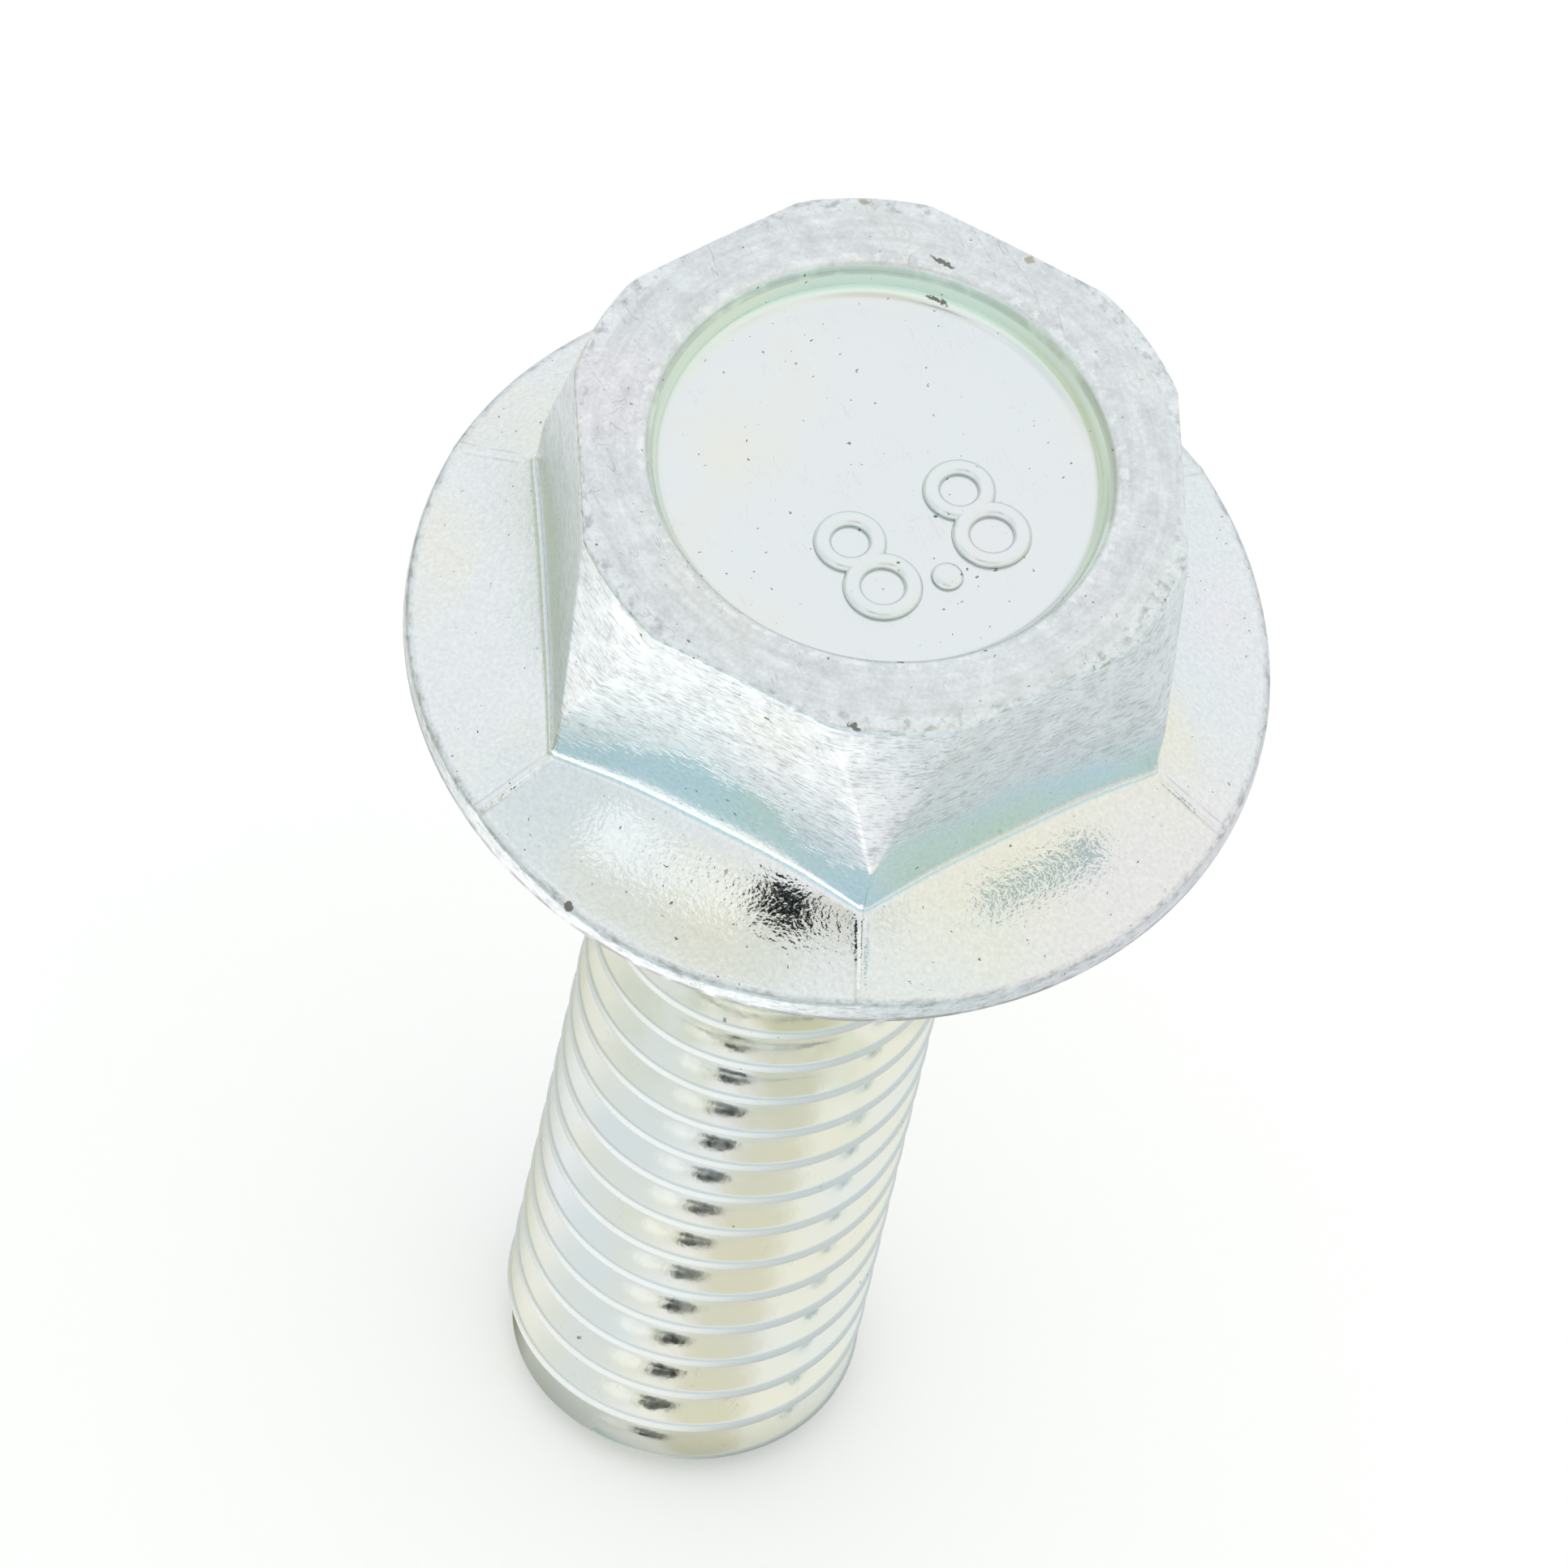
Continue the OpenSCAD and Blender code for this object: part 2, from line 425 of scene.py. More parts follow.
def oval_ring(name, x, y, width, height, stroke):
    """One loop of a figure: a ring with a flat crown, its foot sunk in the recess floor."""
    deselect_all()
    bpy.ops.mesh.primitive_torus_add(major_segments=64, minor_segments=20,
                                     major_radius=width * MM, minor_radius=stroke * MM)
    ring = bpy.context.object
    ring.name = name
    edit(ring)
    bpy.ops.mesh.select_all(action="SELECT")
    bpy.ops.transform.resize(value=(1, height / width, CROWN))
    bpy.ops.transform.rotate(value=-READ, orient_axis="Z", center_override=(0, 0, 0))
    place = along * x + up * y
    sunk = RECESS_FLOOR + 0.005
    bpy.ops.transform.translate(value=(place.x * MM, place.y * MM, sunk * MM))
    bpy.ops.object.mode_set(mode="OBJECT")
    return ring


figures = []
for x in FIGURES_AT:
    for loop in LOOPS:
        figures.append(oval_ring("figure", x, *loop))
deselect_all()
bpy.ops.mesh.primitive_uv_sphere_add(segments=32, ring_count=16, radius=POINT_RADIUS * MM)
point = bpy.context.object
edit(point)
bpy.ops.mesh.select_all(action="SELECT")
bpy.ops.transform.resize(value=(1, 1, POINT_CROWN))
place = up * POINT_AT
bpy.ops.transform.translate(value=(place.x * MM, place.y * MM, (RECESS_FLOOR + 0.01) * MM))
bpy.ops.object.mode_set(mode="OBJECT")
figures.append(point)
deselect_all()
for figure in figures:
    figure.select_set(True)
bpy.context.view_layer.objects.active = figures[0]
bpy.ops.object.join()
mark = bpy.context.object
mark.name = "strength_figures"
print("figures:", len(mark.data.polygons), "faces")

# %% [markdown]
# All three pieces are shaded smooth, with true edges kept only where the form turns sharply. They
# ride on the one body, and the CAD node is hidden.

# %% Finish the pieces
for piece, edge in ((head, 50), (thread, 60), (mark, 60)):
    pick(piece)
    bpy.ops.object.shade_smooth_by_angle(angle=math.radians(edge))
    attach(piece, "root")
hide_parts(NODE)
for piece in (head, thread, mark):
    print(piece.name, [round(c, 4) for c in piece.dimensions])

# %% [markdown]
# Every finish below is built from nodes that read Object coordinates. A few helpers keep that short:
# one puts a node into a tree and fills its inputs, with sockets linked and plain values set; the
# arithmetic ones are made from it; and two start a node group and use it.

# %% Helpers for nodes
def fill(tree, node, inputs):
    for key, value in inputs.items():
        if isinstance(value, bpy.types.NodeSocket):
            tree.links.new(value, node.inputs[key])
        else:
            node.inputs[key].default_value = value


def put(tree, kind, inputs=None, out=0, **settings):
    node = tree.nodes.new(kind)
    for key, value in settings.items():
        setattr(node, key, value)
    fill(tree, node, inputs or {})
    return node.outputs[out]


def calc(tree, operation, a, b=0.0, c=0.0):
    return put(tree, "ShaderNodeMath", {0: a, 1: b, 2: c}, operation=operation)


def times(tree, a, b):
    return calc(tree, "MULTIPLY", a, b)


def largest(tree, a, b):
    return calc(tree, "MAXIMUM", a, b)


def vectors(tree, operation, a, b, out=0):
    return put(tree, "ShaderNodeVectorMath", {0: a, 1: b}, operation=operation, out=out)


def smooth_step(tree, value, low, high):
    return put(tree, "ShaderNodeMapRange", {"Value": value, "From Min": low, "From Max": high},
               interpolation_type="SMOOTHSTEP")


def blend(tree, factor, a, b):
    return put(tree, "ShaderNodeMix", {"Factor": factor, "A": a, "B": b}, data_type="RGBA", out=2)


def mix_values(tree, factor, a, b):
    return put(tree, "ShaderNodeMix", {0: factor, 2: a, 3: b}, data_type="FLOAT", out=0)


def noise(tree, vector, scale, detail=2.0, roughness=0.5):
    return put(tree, "ShaderNodeTexNoise",
               {"Vector": vector, "Scale": scale, "Detail": detail, "Roughness": roughness})


def noise_range(tree, value, to_low, to_high, low=0.3, high=0.7):
    """A noise lies mostly between 0.3 and 0.7; this spreads that over the two wanted values."""
    return put(tree, "ShaderNodeMapRange", {"Value": value, "From Min": low, "From Max": high,
                                            "To Min": to_low, "To Max": to_high})


def start_group(name, inputs, output, kind="NodeSocketFloat"):
    tree = bpy.data.node_groups.new(name, "ShaderNodeTree")
    for label, value in inputs.items():
        vector = value is None
        socket = tree.interface.new_socket(
            label, in_out="INPUT", socket_type="NodeSocketVector" if vector else "NodeSocketFloat")
        if not vector:
            socket.default_value = value
    tree.interface.new_socket(output, in_out="OUTPUT", socket_type=kind)
    ins = tree.nodes.new("NodeGroupInput")
    outs = tree.nodes.new("NodeGroupOutput")
    return tree, ins.outputs, outs.inputs


def use_group(tree, group, inputs):
    node = tree.nodes.new("ShaderNodeGroup")
    node.node_tree = group
    fill(tree, node, inputs)
    return node.outputs[0]


print("node helpers ready")

# %% [markdown]
# Dark specks are dirt and pinholes in the plating. A Voronoi pattern gives one cell to each possible
# speck; a random value of the cell decides whether it has one and how big it is.

# %% Group: dark specks
specks, given, gives = start_group(
    "dark_specks", {"Vector": None, "Scale": 2.0, "Density": 0.2, "Size": 0.05}, "Mask")
cells = specks.nodes.new("ShaderNodeTexVoronoi")
specks.links.new(given["Vector"], cells.inputs["Vector"])
specks.links.new(given["Scale"], cells.inputs["Scale"])
chance = put(specks, "ShaderNodeSeparateColor", {"Color": cells.outputs["Color"]})
has_one = calc(specks, "LESS_THAN", chance, given["Density"])
share = put(specks, "ShaderNodeMapRange", {"Value": chance, "From Max": given["Density"],
                                          "To Min": 1.0, "To Max": 0.35})
reach = times(specks, times(specks, given["Size"], given["Scale"]), share)
edge = calc(specks, "DIVIDE", cells.outputs["Distance"], reach)
dot = put(specks, "ShaderNodeMapRange", {"Value": edge, "From Min": 1.15, "From Max": 0.6},
          interpolation_type="SMOOTHSTEP")
specks.links.new(times(specks, dot, has_one), gives["Mask"])
print("group", specks.name)

# %% [markdown]
# Handling leaves hairline scratches. A noise that is stretched along one direction has long thin
# contours; the line where it crosses its middle value is a scratch, broken up by a second noise.

# %% Group: hairline scratches
scratches, given, gives = start_group(
    "hairline_scratches", {"Vector": None, "Turn": 0.6, "Amount": 0.5}, "Mask")
turned = put(scratches, "ShaderNodeVectorRotate",
             {"Vector": given["Vector"], "Axis": (0.2, 0.1, 1.0), "Angle": given["Turn"]})
stretched = vectors(scratches, "MULTIPLY", turned, (0.35, 3.2, 3.2))
field = noise(scratches, stretched, 1.6, 1.0)
line = calc(scratches, "ABSOLUTE", calc(scratches, "SUBTRACT", field, 0.5))
line = put(scratches, "ShaderNodeMapRange", {"Value": line, "From Min": 0.012, "From Max": 0.002})
patches = noise(scratches, given["Vector"], 1.1, 2.0)
limit = calc(scratches, "SUBTRACT", 0.72, times(scratches, given["Amount"], 0.3))
shown = put(scratches, "ShaderNodeMapRange",
            {"Value": patches, "From Min": limit, "From Max": calc(scratches, "ADD", limit, 0.08)})
scratches.links.new(times(scratches, line, shown), gives["Mask"])
print("group", scratches.name)

# %% [markdown]
# Some marks have their own place on this screw: a painted highlight on a nick at one corner, dark dents
# at the recess, specks on the chamfer. One group draws such a mark round a given point, longer one way
# than another.

# %% Group: one mark at its place
single, given, gives = start_group(
    "placed_mark", {"Vector": None, "Place": None, "Size": None}, "Mask")
moved = vectors(single, "SUBTRACT", given["Vector"], given["Place"])
moved = vectors(single, "DIVIDE", moved, given["Size"])
away = put(single, "ShaderNodeVectorMath", {0: moved}, operation="LENGTH", out=1)
single.links.new(smooth_step(single, away, 1.1, 0.7), gives["Mask"])
print("group", single.name)

# %% [markdown]
# Where the die didn't rub, the plating has a fine orange peel: soft bumps a tenth of a millimetre wide.

# %% Group: orange peel
peel, given, gives = start_group("orange_peel", {"Vector": None, "Scale": 7.0}, "Height")
coarse = noise(peel, given["Vector"], given["Scale"], 1.0)
fine = noise(peel, given["Vector"], times(peel, given["Scale"], 2.3), 1.0)
peel.links.new(calc(peel, "MULTIPLY_ADD", fine, 0.4, coarse), gives["Height"])
print("group", peel.name)

# %% [markdown]
# The passivation is a clear film, thin enough to tint the metal: mostly a cold blue-white, here and
# there cream or lilac. Two slow noises choose between the three.

# %% Group: tint of the passivation
tint, given, gives = start_group(
    "passivation_tint", {"Vector": None, "Warmth": 0.5}, "Color", "NodeSocketColor")
slow = noise(tint, given["Vector"], 0.32, 2.0)
slower = noise(tint, given["Vector"], 0.21, 1.0)
warmed = calc(tint, "ADD", slow, times(tint, given["Warmth"], 0.3))
warm = smooth_step(tint, warmed, 0.5, 0.85)
lilac = smooth_step(tint, slower, 0.52, 0.72)
cold = blend(tint, lilac, (0.79, 0.835, 0.85, 1), (0.82, 0.82, 0.855, 1))
tint.links.new(blend(tint, warm, cold, (0.83, 0.83, 0.74, 1)), gives["Color"])
print("group", tint.name)

# %% [markdown]
# Both finishes start alike. Helpers make the material, tell how high a place is and how far from the
# axis, push a place about so that a mark there has a ragged edge, and put the marks on.

# %% Helpers for the plating
RAGGED = 0.14


def plate_material(name):
    material = bpy.data.materials.new(name)
    material.use_nodes = True
    tree = material.node_tree
    shader = tree.nodes["Principled BSDF"]
    shader.inputs["Metallic"].default_value = 1.0
    where = tree.nodes.new("ShaderNodeTexCoord").outputs["Object"]
    mm = put(tree, "ShaderNodeVectorMath", {0: where, "Scale": 1000.0}, operation="SCALE")
    return material, tree, shader, mm


def split_place(tree, mm):
    axes = tree.nodes.new("ShaderNodeSeparateXYZ")
    tree.links.new(mm, axes.inputs[0])
    x, y, height = axes.outputs
    off_axis = calc(tree, "SQRT", calc(tree, "MULTIPLY_ADD", x, x, times(tree, y, y)))
    return x, y, height, off_axis


def made_ragged(tree, vector):
    push = put(tree, "ShaderNodeTexNoise", {"Vector": vector, "Scale": 12.0, "Detail": 2.0}, out=1)
    push = vectors(tree, "SUBTRACT", push, (0.5, 0.5, 0.5))
    push = put(tree, "ShaderNodeVectorMath", {0: push, "Scale": RAGGED}, operation="SCALE")
    return vectors(tree, "ADD", vector, push)


def speckled(tree, vector, scale, density, size):
    return use_group(tree, specks, {"Vector": vector, "Scale": scale, "Density": density,
                                    "Size": size})


def scratched(tree, vector, turn, amount):
    return use_group(tree, scratches, {"Vector": vector, "Turn": turn, "Amount": amount})


def marked(tree, vector, mask, places):
    """A mask with more marks in it, each with its place and its size in mm."""
    for spot, size in places:
        one = use_group(tree, single, {"Vector": vector, "Place": spot, "Size": size})
        mask = largest(tree, mask, one)
    return mask


def add_relief(tree, shader, bumps, strength, depth):
    bump = tree.nodes.new("ShaderNodeBump")
    bump.inputs["Strength"].default_value = strength
    bump.inputs["Distance"].default_value = depth * MM
    tree.links.new(bumps, bump.inputs["Height"])
    tree.links.new(bump.outputs["Normal"], shader.inputs["Normal"])


print("plating helpers ready")

# %% [markdown]
# The head has four kinds of skin. The top ring, its chamfer and the sides were rubbed by the tools and
# are matt; the foot of each side, the flange faces and the recess floor were not, and still shine.
# Height and distance from the axis tell them apart, with a noise that frays the borders. The shiny foot
# is an arc on each side, because the die rubs down to the flange at the corners; beside one corner it
# rubbed less.

# %% Zones of the head
RECESS_BORDER, RECESS_RISE = (3.86, 3.78), (4.6, 4.9)
FOOT_BORDER = (3.98, 3.58)
RIM_BORDER = (6.93, 7.03)
SIDE_BORDER = (4.85, 4.93)
LESS_RUBBED = (3.35, -4.15, 2.0)
head_plate, tree, shader, mm = plate_material("zinc_plate_head")
x, y, height, off_axis = split_place(tree, mm)
fray = calc(tree, "SUBTRACT", noise(tree, mm, 1.1, 3.0, 0.6), 0.5)
recess = times(tree, smooth_step(tree, off_axis, *RECESS_BORDER),
               smooth_step(tree, height, *RECESS_RISE))
flange = smooth_step(tree, height, SEAT + 0.05, SEAT - 0.12)
streaks = noise(tree, vectors(tree, "MULTIPLY", mm, (1.0, 1.0, 4.6)), 4.6, 2.0, 0.6)
six_waves = times(tree, calc(tree, "ARCTAN2", y, x), 6.0)
at_corner = calc(tree, "MULTIPLY_ADD", calc(tree, "COSINE", six_waves), 0.5, 0.5)
from_there = vectors(tree, "DISTANCE", mm, LESS_RUBBED, out=1)
arc = times(tree, at_corner, smooth_step(tree, from_there, 0.5, 1.6))
foot = calc(tree, "MULTIPLY_ADD", fray, 1.5, calc(tree, "MULTIPLY_ADD", arc, 1.1, height))
foot = smooth_step(tree, calc(tree, "MULTIPLY_ADD", streaks, 1.3, foot), *FOOT_BORDER)
rim = smooth_step(tree, off_axis, *RIM_BORDER)
shine = largest(tree, largest(tree, recess, flange), foot)
matt = largest(tree, calc(tree, "SUBTRACT", 1.0, shine), rim)
side = times(tree, smooth_step(tree, off_axis, *SIDE_BORDER), matt)
print("zones of the head ready")

# %% [markdown]
# Dirt comes in three sizes, with crumbs round the figures. Dents and chips sit where this screw has
# them. Edges wear bright, and a nick at one corner carries a painted highlight. Lines of painted shade
# lie at the feet of forms and in creases, with a grey line along the rim's upper edge.

# %% Dirt, scratches and streaks on the head, with lines of painted shade and a painted highlight
CRUMBS_AT = (1.75, -1.2, RECESS_FLOOR)
DENTS = (((-0.9, 3.97, 5.8), (0.26, 0.05, 0.2)), ((-0.8, 3.58, 5.3), (0.3, 0.04, 0.08)),
         ((-1.44, -6.9, 0.42), (0.1, 0.1, 0.09)), ((0.53, -4.95, 5.05), (0.05, 0.1, 0.03)),
         ((1.92, -4.75, 5.68), (0.16, 0.05, 0.05)), ((2.02, -3.27, 5.72), (0.08, 0.05, 0.1)))
CHIPS = (((-2.56, 4.4, 5.7), (0.1, 0.07, 0.2)), ((0.27, 4.8, 5.74), (0.08, 0.11, 0.2)),
         ((0.6, -5.43, 1.17), (0.05, 0.05, 0.08)), ((4.85, -1.49, 5.62), (0.08, 0.12, 0.05)))
# Painted highlight: a nick on one corner's chamfer edge, painted near-white where it catches the light.
PAINTED_GLINT = (((-2.25, -4.73, 5.44), (0.34, 0.3, 0.15)),)
edge_colour = put(tree, "ShaderNodeAttribute", attribute_name="edges")
edge_marks = tree.nodes.new("ShaderNodeSeparateColor")
tree.links.new(edge_colour, edge_marks.inputs["Color"])
rubbed = noise(tree, mm, 2.4, 4.0, 0.62)
grain = noise(tree, mm, 13.0, 3.0, 0.6)
round_way = put(tree, "ShaderNodeCombineXYZ", {
    0: times(tree, off_axis, 4.2), 1: times(tree, x, 0.35), 2: times(tree, y, 0.35)})
rings = noise(tree, round_way, 1.5, 3.0, 0.65)
ragged = made_ragged(tree, mm)
dust = speckled(tree, ragged, 5.5, 0.4, 0.024)
dirt = speckled(tree, ragged, 2.1, 0.17, 0.045)
blots = speckled(tree, ragged, 0.5, 0.22, 0.11)
dirt = largest(tree, largest(tree, dust, dirt), blots)
crumbs = speckled(tree, ragged, 5.0, 0.75, 0.035)
near_figures = vectors(tree, "DISTANCE", mm, CRUMBS_AT, out=1)
near_figures = calc(tree, "MULTIPLY_ADD", fray, 2.0, near_figures)
dirt = largest(tree, dirt, times(tree, crumbs, smooth_step(tree, near_figures, 1.5, 0.7)))
dirt = marked(tree, ragged, dirt, DENTS)
chips = marked(tree, ragged, 0.0, CHIPS)
painted_glint = marked(tree, ragged, 0.0, PAINTED_GLINT)
# Painted shade: a thin dark line where the raised figures meet the recess floor.
figure_foot_shade = times(tree, smooth_step(tree, height, RECESS_FLOOR + 0.004, RECESS_FLOOR + 0.01),
                    smooth_step(tree, height, RECESS_FLOOR + 0.05, RECESS_FLOOR + 0.025))
figure_foot_shade = times(tree, figure_foot_shade, smooth_step(tree, off_axis, 3.4, 3.3))
nicks_and_glint = times(tree, edge_marks.outputs[BRIGHT],
              smooth_step(tree, noise(tree, mm, 5.0, 3.0), 0.5, 0.62))
# The worn edges and the painted highlight of the nick share one near-white mask.
nicks_and_glint = largest(tree, nicks_and_glint, painted_glint)
# Painted shade: the dark lines of the attribute, broken up by a noise.
shade_lines = times(tree, edge_marks.outputs[PAINTED_SHADE],
              smooth_step(tree, noise(tree, mm, 2.0, 2.0), 0.32, 0.55))
shade_lines = largest(tree, shade_lines, figure_foot_shade)
hair = largest(tree, scratched(tree, mm, 0.7, 0.7), scratched(tree, mm, 2.1, 0.5))
hair = times(tree, hair, calc(tree, "MULTIPLY_ADD", matt, 0.75, 0.2))
print("marks on the head ready")

# %% [markdown]
# The film's tint comes first, then the tones of the rubbed skin, then the marks, each with its own
# colour and strength.

# %% Colour of the head
WALL_GREEN = (0.82, 0.89, 0.77, 1)
NICK_WHITE, PAINTED_GLINT_WHITE = (0.88, 0.9, 0.9, 1), (0.97, 0.98, 0.98, 1)
# The first grey paints the lines of shade, the second the hairline scratches.
SHADE_LINE_GREY, HAIR_GREY = (0.24, 0.24, 0.23, 1), (0.36, 0.37, 0.37, 1)
CHIP_BROWN, DIRT_BROWN = (0.42, 0.39, 0.3, 1), (0.16, 0.15, 0.11, 1)
colour = use_group(tree, tint, {"Vector": mm, "Warmth": mix_values(tree, matt, 0.18, -0.25)})
matt_tone = noise_range(tree, rubbed, 0.84, 1.0)
streak_tone = noise_range(tree, streaks, 0.7, 1.05, 0.3, 0.5)
grain_tone = noise_range(tree, grain, 0.92, 1.06)
ring_tone = noise_range(tree, rings, 0.92, 1.07)
matt_tone = times(tree, matt_tone, mix_values(tree, side, ring_tone, 1.0))
tone = mix_values(tree, matt, mix_values(tree, recess, grain_tone, 1.0),
                  times(tree, matt_tone, grain_tone))
tone = times(tree, tone, mix_values(tree, side, 1.0, streak_tone))
tone = times(tree, tone, mix_values(tree, rim, 1.0, 0.95))
grey = put(tree, "ShaderNodeCombineColor", {0: tone, 1: tone, 2: tone})
colour = put(tree, "ShaderNodeMix", {"Factor": 1.0, "A": colour, "B": grey}, data_type="RGBA",
             blend_type="MULTIPLY", out=2)
recess_wall = times(tree, recess, smooth_step(tree, off_axis, 3.58, 3.66))
for mask, strength, paint in (
        (recess_wall, 1.0, WALL_GREEN), (nicks_and_glint, 0.7, NICK_WHITE), (painted_glint, 1.0, PAINTED_GLINT_WHITE),
        (shade_lines, 0.7, SHADE_LINE_GREY), (hair, 0.5, HAIR_GREY), (chips, 0.8, CHIP_BROWN),
        (dirt, 0.8, DIRT_BROWN)):
    colour = blend(tree, times(tree, mask, strength), colour, paint)
tree.links.new(colour, shader.inputs["Base Color"])
print("colour of the head ready")

# %% Gloss and relief of the head
matt_rough = noise_range(tree, rubbed, 0.42, 0.3)
shine_rough = mix_values(tree, flange, 0.14, 0.075)
recess_rough = mix_values(tree, recess_wall, 0.24, 0.13)
rough = mix_values(tree, matt, mix_values(tree, recess, shine_rough, recess_rough), matt_rough)
rough = mix_values(tree, painted_glint, rough, 0.08)
rough = largest(tree, rough, times(tree, dirt, 0.7))
tree.links.new(rough, shader.inputs["Roughness"])
skin = use_group(tree, peel, {"Vector": mm, "Scale": 10.0})
matt_bumps = calc(tree, "MULTIPLY_ADD", streaks, mix_values(tree, side, 0.1, 0.5),
                  times(tree, rubbed, 0.7))
matt_bumps = calc(tree, "MULTIPLY_ADD", rings, mix_values(tree, side, 1.2, 0.0), matt_bumps)
shine_bumps = times(tree, skin, mix_values(tree, recess, 0.4, 0.05))
add_relief(tree, shader, mix_values(tree, matt, shine_bumps, matt_bumps), 0.5, 0.02)
print("material", head_plate.name, len(tree.nodes), "nodes")

# %% [markdown]
# The thread was rolled under great pressure, so its flanks are smooth. The film is thicker down there
# and looks cream and olive. Its crests are dull from handling, and its end is painted darker as shade.

# %% Plating of the thread
FILM_OLIVE, CREST_GREY = (0.62, 0.65, 0.48, 1), (0.62, 0.66, 0.68, 1)
END_SHADE, THREAD_HAIR, THREAD_DIRT = (0.32, 0.34, 0.29, 1), (0.45, 0.45, 0.42, 1), (0.2, 0.19, 0.15, 1)
thread_plate, tree, shader, mm = plate_material("zinc_plate_thread")
_, _, height, off_axis = split_place(tree, mm)
colour = use_group(tree, tint, {"Vector": mm, "Warmth": 0.75})
film = times(tree, smooth_step(tree, height, -13.0, -4.0),
             smooth_step(tree, noise(tree, mm, 0.9, 3.0), 0.36, 0.6))
crest = smooth_step(tree, off_axis, CREST - 0.06, CREST - 0.015)
# Painted shade: the last millimetre of the thread, next to the table, is painted darker.
end_shade = smooth_step(tree, height, -SHANK + 1.0, -SHANK + 0.2)
hair = scratched(tree, mm, 1.2, 0.4)
dirt = speckled(tree, made_ragged(tree, mm), 2.4, 0.16, 0.05)
for mask, strength, paint in (
        (film, 0.75, FILM_OLIVE), (crest, 0.7, CREST_GREY), (end_shade, 0.9, END_SHADE),
        (hair, 0.3, THREAD_HAIR), (dirt, 0.7, THREAD_DIRT)):
    colour = blend(tree, times(tree, mask, strength), colour, paint)
tree.links.new(colour, shader.inputs["Base Color"])
rough = noise_range(tree, noise(tree, mm, 3.0, 3.0), 0.08, 0.18)
rough = mix_values(tree, crest, rough, 0.42)
rough = largest(tree, rough, times(tree, dirt, 0.6))
tree.links.new(rough, shader.inputs["Roughness"])
add_relief(tree, shader, use_group(tree, peel, {"Vector": mm, "Scale": 5.0}), 0.2, 0.01)
print("material", thread_plate.name, len(tree.nodes), "nodes")

# %% Give the pieces their finishes
for piece, finish in ((head, head_plate), (thread, thread_plate), (mark, head_plate)):
    piece.data.materials.clear()
    piece.data.materials.append(finish)
print("finishes placed")

# %% [markdown]
# The camera stands where the photograph was taken from: a long lens, high above the head, leaning a
# little to one side. Its three axes are unit vectors in the part's own frame.

# %% Camera
RIGHT = Vector((0.8828, 0.45171, 0.12893))
DOWN = Vector((0.44398, -0.71266, -0.54314))
AWAY = Vector((-0.15346, 0.53672, -0.82969))
PHOTO_WIDTH = 1932
PIXELS_PER_MM = 75.8
SENSOR = 36
SHIFT_X, SHIFT_Y = 0.8385, -2.0768
DISTANCE = 900.0
place = (RIGHT * -SHIFT_X + DOWN * -SHIFT_Y + AWAY * -DISTANCE) * MM
camera_data = bpy.data.cameras.new("camera")
camera_data.sensor_width = SENSOR
camera_data.lens = SENSOR * DISTANCE / (PHOTO_WIDTH / PIXELS_PER_MM)
camera_data.clip_start = 0.01
camera_data.clip_end = 20
camera = bpy.data.objects.new("camera", camera_data)
bpy.context.scene.collection.objects.link(camera)
turned = Matrix((RIGHT, -DOWN, -AWAY)).transposed()
camera.matrix_world = Matrix.Translation(place) @ turned.to_4x4()
bpy.context.scene.camera = camera
print("camera at", [round(c, 3) for c in place], "lens", round(camera_data.lens))

# %% [markdown]
# The screw stands on a pale round table in a white tent. Plated metal has little colour of its own: it
# shows what stands round it. So the tent is painted with care: bright overhead, grey and bluish along
# the horizon, with soft patches, a dark slot beside the lens and a grey gap. The table is small, so the
# foot of each side, which mirrors its flange face, sees past its edge to the horizon.

# %% Table
def heading(azimuth, elevation):
    a, e = math.radians(azimuth), math.radians(elevation)
    return math.cos(a) * math.cos(e), math.sin(a) * math.cos(e), math.sin(e)


TABLE_RADIUS = 0.11
TABLE_WHITE = (0.9, 0.9, 0.9, 1)
SHADE, LIGHT = (0.84, 0.84, 0.85, 1), (1.0, 0.95, 0.94, 1)
deselect_all()
bpy.ops.mesh.primitive_circle_add(vertices=96, radius=TABLE_RADIUS, fill_type="NGON",
                                  location=(0, 0, -SHANK * MM))
floor = bpy.context.object
floor.name = "floor"
paper = bpy.data.materials.new("pale_table")
paper.use_nodes = True
tree = paper.node_tree
shader = tree.nodes["Principled BSDF"]
shader.inputs["Roughness"].default_value = 0.9
shader.inputs["Specular IOR Level"].default_value = 0.1
rays = tree.nodes.new("ShaderNodeLightPath")
where = tree.nodes.new("ShaderNodeTexCoord").outputs["Object"]
glossy, seen = rays.outputs["Is Glossy Ray"], rays.outputs["Is Camera Ray"]
toward = put(tree, "ShaderNodeVectorMath", {0: where}, operation="NORMALIZE")
lit = smooth_step(tree, vectors(tree, "DOT_PRODUCT", toward, heading(-106, 0), out=1), 0.4, 0.9)
tree.links.new(blend(tree, glossy, TABLE_WHITE, blend(tree, lit, SHADE, LIGHT)),
               shader.inputs["Base Color"])
shader.inputs["Emission Color"].default_value = (1, 1, 1, 1)
glow = times(tree, glossy, calc(tree, "MULTIPLY_ADD", lit, 0.38, 0.12))
tree.links.new(calc(tree, "MULTIPLY_ADD", seen, 0.2, glow), shader.inputs["Emission Strength"])
floor.data.materials.append(paper)
print("table placed")

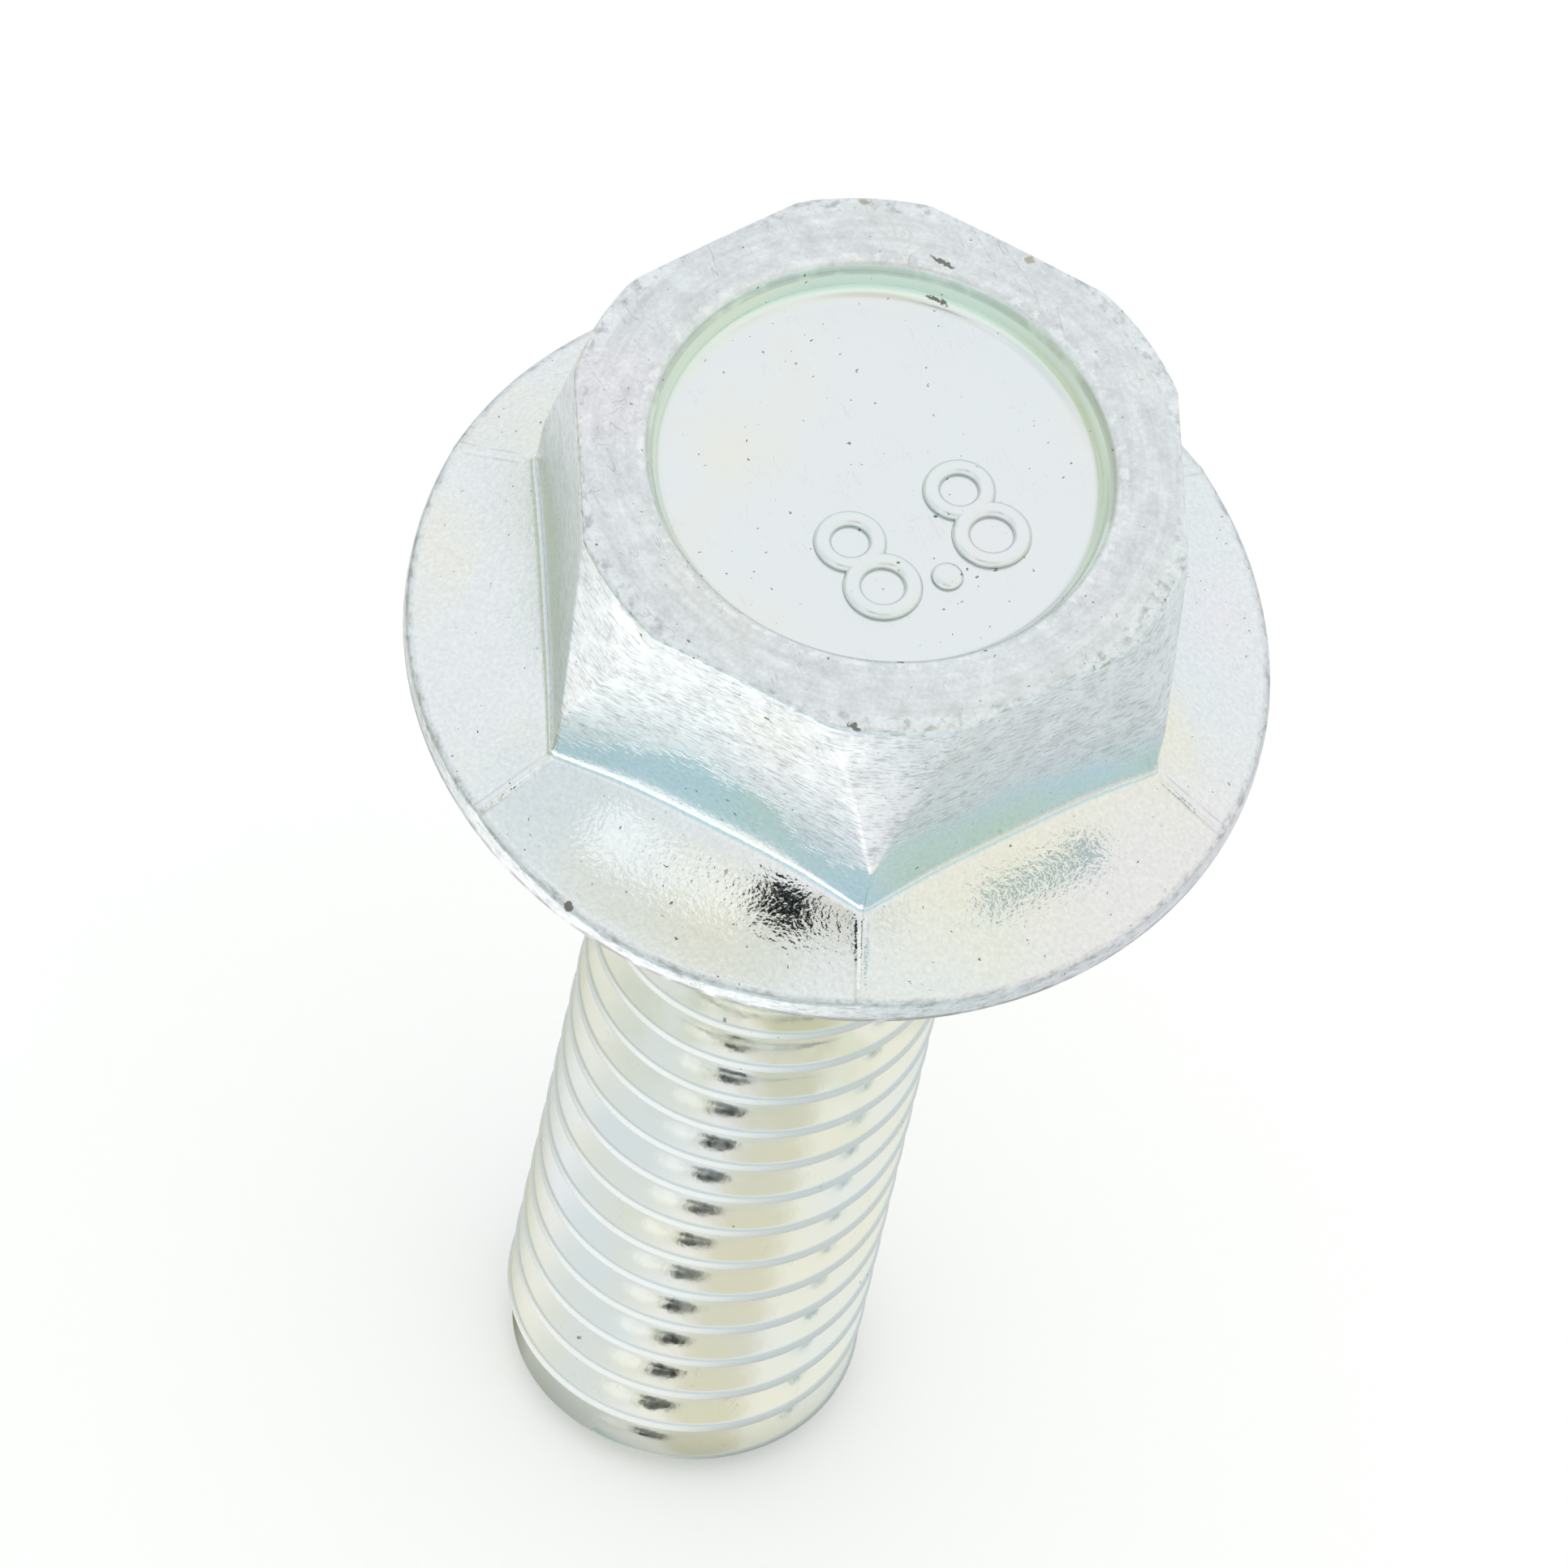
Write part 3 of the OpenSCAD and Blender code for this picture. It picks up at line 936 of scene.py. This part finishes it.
# %% The tent as the world
world = bpy.data.worlds.new("white_tent")
bpy.context.scene.world = world
world.use_nodes = True
tree = world.node_tree
background = tree.nodes["Background"]
direction = tree.nodes.new("ShaderNodeTexCoord").outputs["Generated"]


def lobe(azimuth, elevation, inner, outer):
    """One soft round patch on the tent: full inside the inner angle, gone at the outer one."""
    facing = vectors(tree, "DOT_PRODUCT", direction, heading(azimuth, elevation), out=1)
    return smooth_step(tree, facing, math.cos(math.radians(outer)), math.cos(math.radians(inner)))


HORIZON_BLUE, OVERHEAD = (0.66, 0.87, 0.92, 1), (0.99, 0.995, 1.0, 1)
SLOT_BLACK = (0.0, 0.005, 0.005, 1)
# Each patch: azimuth, elevation, inner and outer angle in degrees, colour
HORIZON_PATCHES = ((170, 5, 30, 100, (0.62, 0.66, 0.55, 1)), (95, 10, 35, 75, (0.95, 0.97, 0.98, 1)))
SKY_PATCHES = ((15, 45, 10, 50, (0.98, 0.985, 0.93, 1)), (-140, 48, 8, 30, (0.84, 0.88, 0.88, 1)),
               (-106, 68, 5, 16, (0.88, 0.88, 0.80, 1)), (-116, 60, 3, 8, (1.08, 1.09, 1.08, 1)),
               (-50, 54, 8, 20, (0.80, 0.79, 0.67, 1)), (8.6, 47.5, 1.3, 4.0, (0.42, 0.55, 0.57, 1)))
SLOT = ((-90, 60.4, 3.4, 5.2), (-83, 62.2, 3.2, 5.0))


def painted(base, patches):
    for *patch, paint in patches:
        base = blend(tree, lobe(*patch), base, paint)
    return base


rise = put(tree, "ShaderNodeSeparateXYZ", {0: direction}, out=2)
horizon = painted(HORIZON_BLUE, HORIZON_PATCHES)
sky = blend(tree, smooth_step(tree, rise, 0.1, 0.55), horizon, OVERHEAD)
sky = painted(sky, SKY_PATCHES)
sky = blend(tree, largest(tree, lobe(*SLOT[0]), lobe(*SLOT[1])), sky, SLOT_BLACK)
rays = tree.nodes.new("ShaderNodeLightPath")
sky = blend(tree, rays.outputs["Is Camera Ray"], sky, (1, 1, 1, 1))
tree.links.new(sky, background.inputs["Color"])
background.inputs["Strength"].default_value = 1.0
bpy.context.scene.view_settings.view_transform = "Standard"
print("tent ready")
